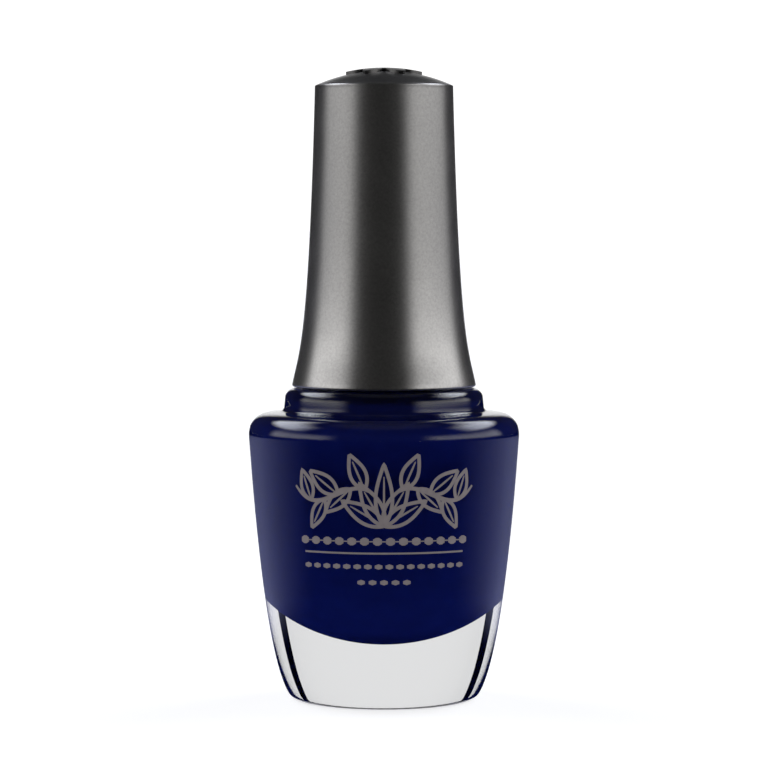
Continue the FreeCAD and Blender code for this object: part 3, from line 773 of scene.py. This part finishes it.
def studio_light():
    """A white backdrop, two tall side panels, brighter panels above them and a dark front."""
    world = bpy.data.worlds.new("studio")
    world.use_nodes = True
    tree = world.node_tree
    x, y, z = parts_of(tree, node(tree, "ShaderNodeTexCoord").outputs["Generated"])
    azimuth = azimuth_of(tree, x, y)
    elevation = maths(tree, "DEGREES", maths(tree, "ARCSINE", z))
    wide = maths(tree, "ABSOLUTE", azimuth)
    sides = maths(tree, "ADD", between(tree, azimuth, *RIGHT_PANEL), between(tree, azimuth, *LEFT_PANEL))
    upper = between(tree, wide, *UPPER_PANEL)
    low_panel = maths(tree, "MULTIPLY", between(tree, elevation, *PANEL_HEIGHT), PANEL_LIGHT)
    high_panel = maths(tree, "MULTIPLY", between(tree, elevation, *UPPER_HEIGHT), UPPER_LIGHT)
    low_panels = maths(tree, "MULTIPLY", sides, low_panel)
    panels = maths(tree, "ADD", low_panels, maths(tree, "MULTIPLY", upper, high_panel))
    low_back = maths(tree, "SUBTRACT", 1.0, step(tree, elevation, *BACKDROP_TOP))
    backdrop = maths(tree, "MULTIPLY", step(tree, wide, *BACKDROP_EDGE), low_back)
    backdrop = maths(tree, "MULTIPLY", backdrop, BACKDROP_LIGHT)
    top = maths(tree, "MULTIPLY", step(tree, elevation, *TOP_HEIGHT), TOP_LIGHT)
    total = maths(tree, "ADD", maths(tree, "ADD", panels, backdrop), maths(tree, "ADD", top, FILL_LIGHT))
    tree.links.new(total, tree.nodes["Background"].inputs["Strength"])
    tint = mixed(tree, step(tree, high_panel, 0, UPPER_LIGHT), (1, 1, 1), UPPER_COLOUR)
    tree.links.new(tint, tree.nodes["Background"].inputs["Color"])
    return world


def card(name, points, faces, look):
    made = mesh_object(name, points, faces, smooth=False)
    made.data.materials.append(look)
    return made


def close_card(name, edges, angles, look, steps, mirrored):
    """A card close to the bottle, swept around the axis between two edges of (radius, height) in metres.
    It throws no shade, and shows only through the glass and, if mirrored, on it."""
    points, faces = [], []
    for k in range(steps + 1):
        a = math.radians(angles[0] + (angles[1] - angles[0]) * k / steps)
        points += [(radius * math.sin(a), -radius * math.cos(a), height) for radius, height in edges]
    for k in range(steps):
        faces.append((2 * k, 2 * k + 1, 2 * k + 3, 2 * k + 2))
    made = card(name, points, faces, look)
    made.visible_camera = False
    made.visible_diffuse = False
    made.visible_shadow = False
    made.visible_glossy = mirrored


def upright(radius, heights):
    return [(radius, height) for height in heights]


def build_camera(scene):
    lens = bpy.data.cameras.new("camera")
    lens.lens = CAMERA_LENS
    lens.sensor_width = 36
    lens.clip_start = 0.01
    camera = bpy.data.objects.new("camera", lens)
    camera.location = CAMERA_PLACE
    camera.rotation_euler = (math.radians(90 - CAMERA_TILT), 0, 0)
    scene.collection.objects.link(camera)
    scene.camera = camera


def build_studio():
    scene = bpy.context.scene
    scene.view_settings.view_transform = "Standard"
    scene.world = studio_light()
    half = FLOOR_HALF
    corners = [(-half, -half, 0), (half, -half, 0), (half, half, 0), (-half, half, 0)]
    floor = card("floor", corners, [(0, 1, 2, 3)], floor_material())
    floor.location.z = -FLOOR_DROP

    black = black_material()
    close_card("base_wall", upright(WALL_RADIUS, WHITE_HEIGHT), WALL_AZIMUTH, base_glow(), 64, False)
    close_card("wall_top", upright(WALL_RADIUS, BLACK_HEIGHT), WALL_AZIMUTH, black, 24, False)
    for name, angles in FLAGS.items():
        close_card(name, upright(FLAG_RADIUS, FLAG_HEIGHT), angles, black, 24, False)
    ring = [(radius, SHADE_HEIGHT) for radius in SHADE_RING]
    close_card("floor_shade", ring, (-SHADE_HALF, SHADE_HALF), shade_glow(), 36, True)
    build_camera(scene)


def build_all():
    cap = cap_material("cap_satin", CAP_GREY)
    build_glass(glass_material())
    build_lacquer(lacquer_material())
    build_cap(cap)
    build_ribs(cap)
    build_bristles(plastic("bristle_wet", WET_BRISTLE, 0.14))
    build_print(plastic("print_ink", PRINT_GREY, 0.5))
    looks = {
        "base_label": plastic("label_paper", (0.82, 0.82, 0.8), 0.8, 600, 0.2),
        "mixing_ball_front": metal("ball_steel", STEEL, 0.12),
        "mixing_ball_back": metal("ball_steel_b", STEEL, 0.12),
        "sealing_gasket": plastic("gasket_foam", (0.85, 0.85, 0.82), 0.6, 900, 0.3),
        "brush_stem": plastic("stem_plastic", (0.012, 0.012, 0.013), 0.25, 1600, 0.01),
        "tuft_anchor": metal("anchor_steel", (0.5, 0.5, 0.5), 0.3),
        "inner_cap": plastic("closure_plastic", (0.02, 0.02, 0.022), 0.38),
        "top_ornament": cap_material("ornament_satin", ORNAMENT_GREY),
    }
    for name, look in looks.items():
        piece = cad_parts[name]
        piece.data.materials.clear()
        piece.data.materials.append(look)
    build_studio()


build_all()
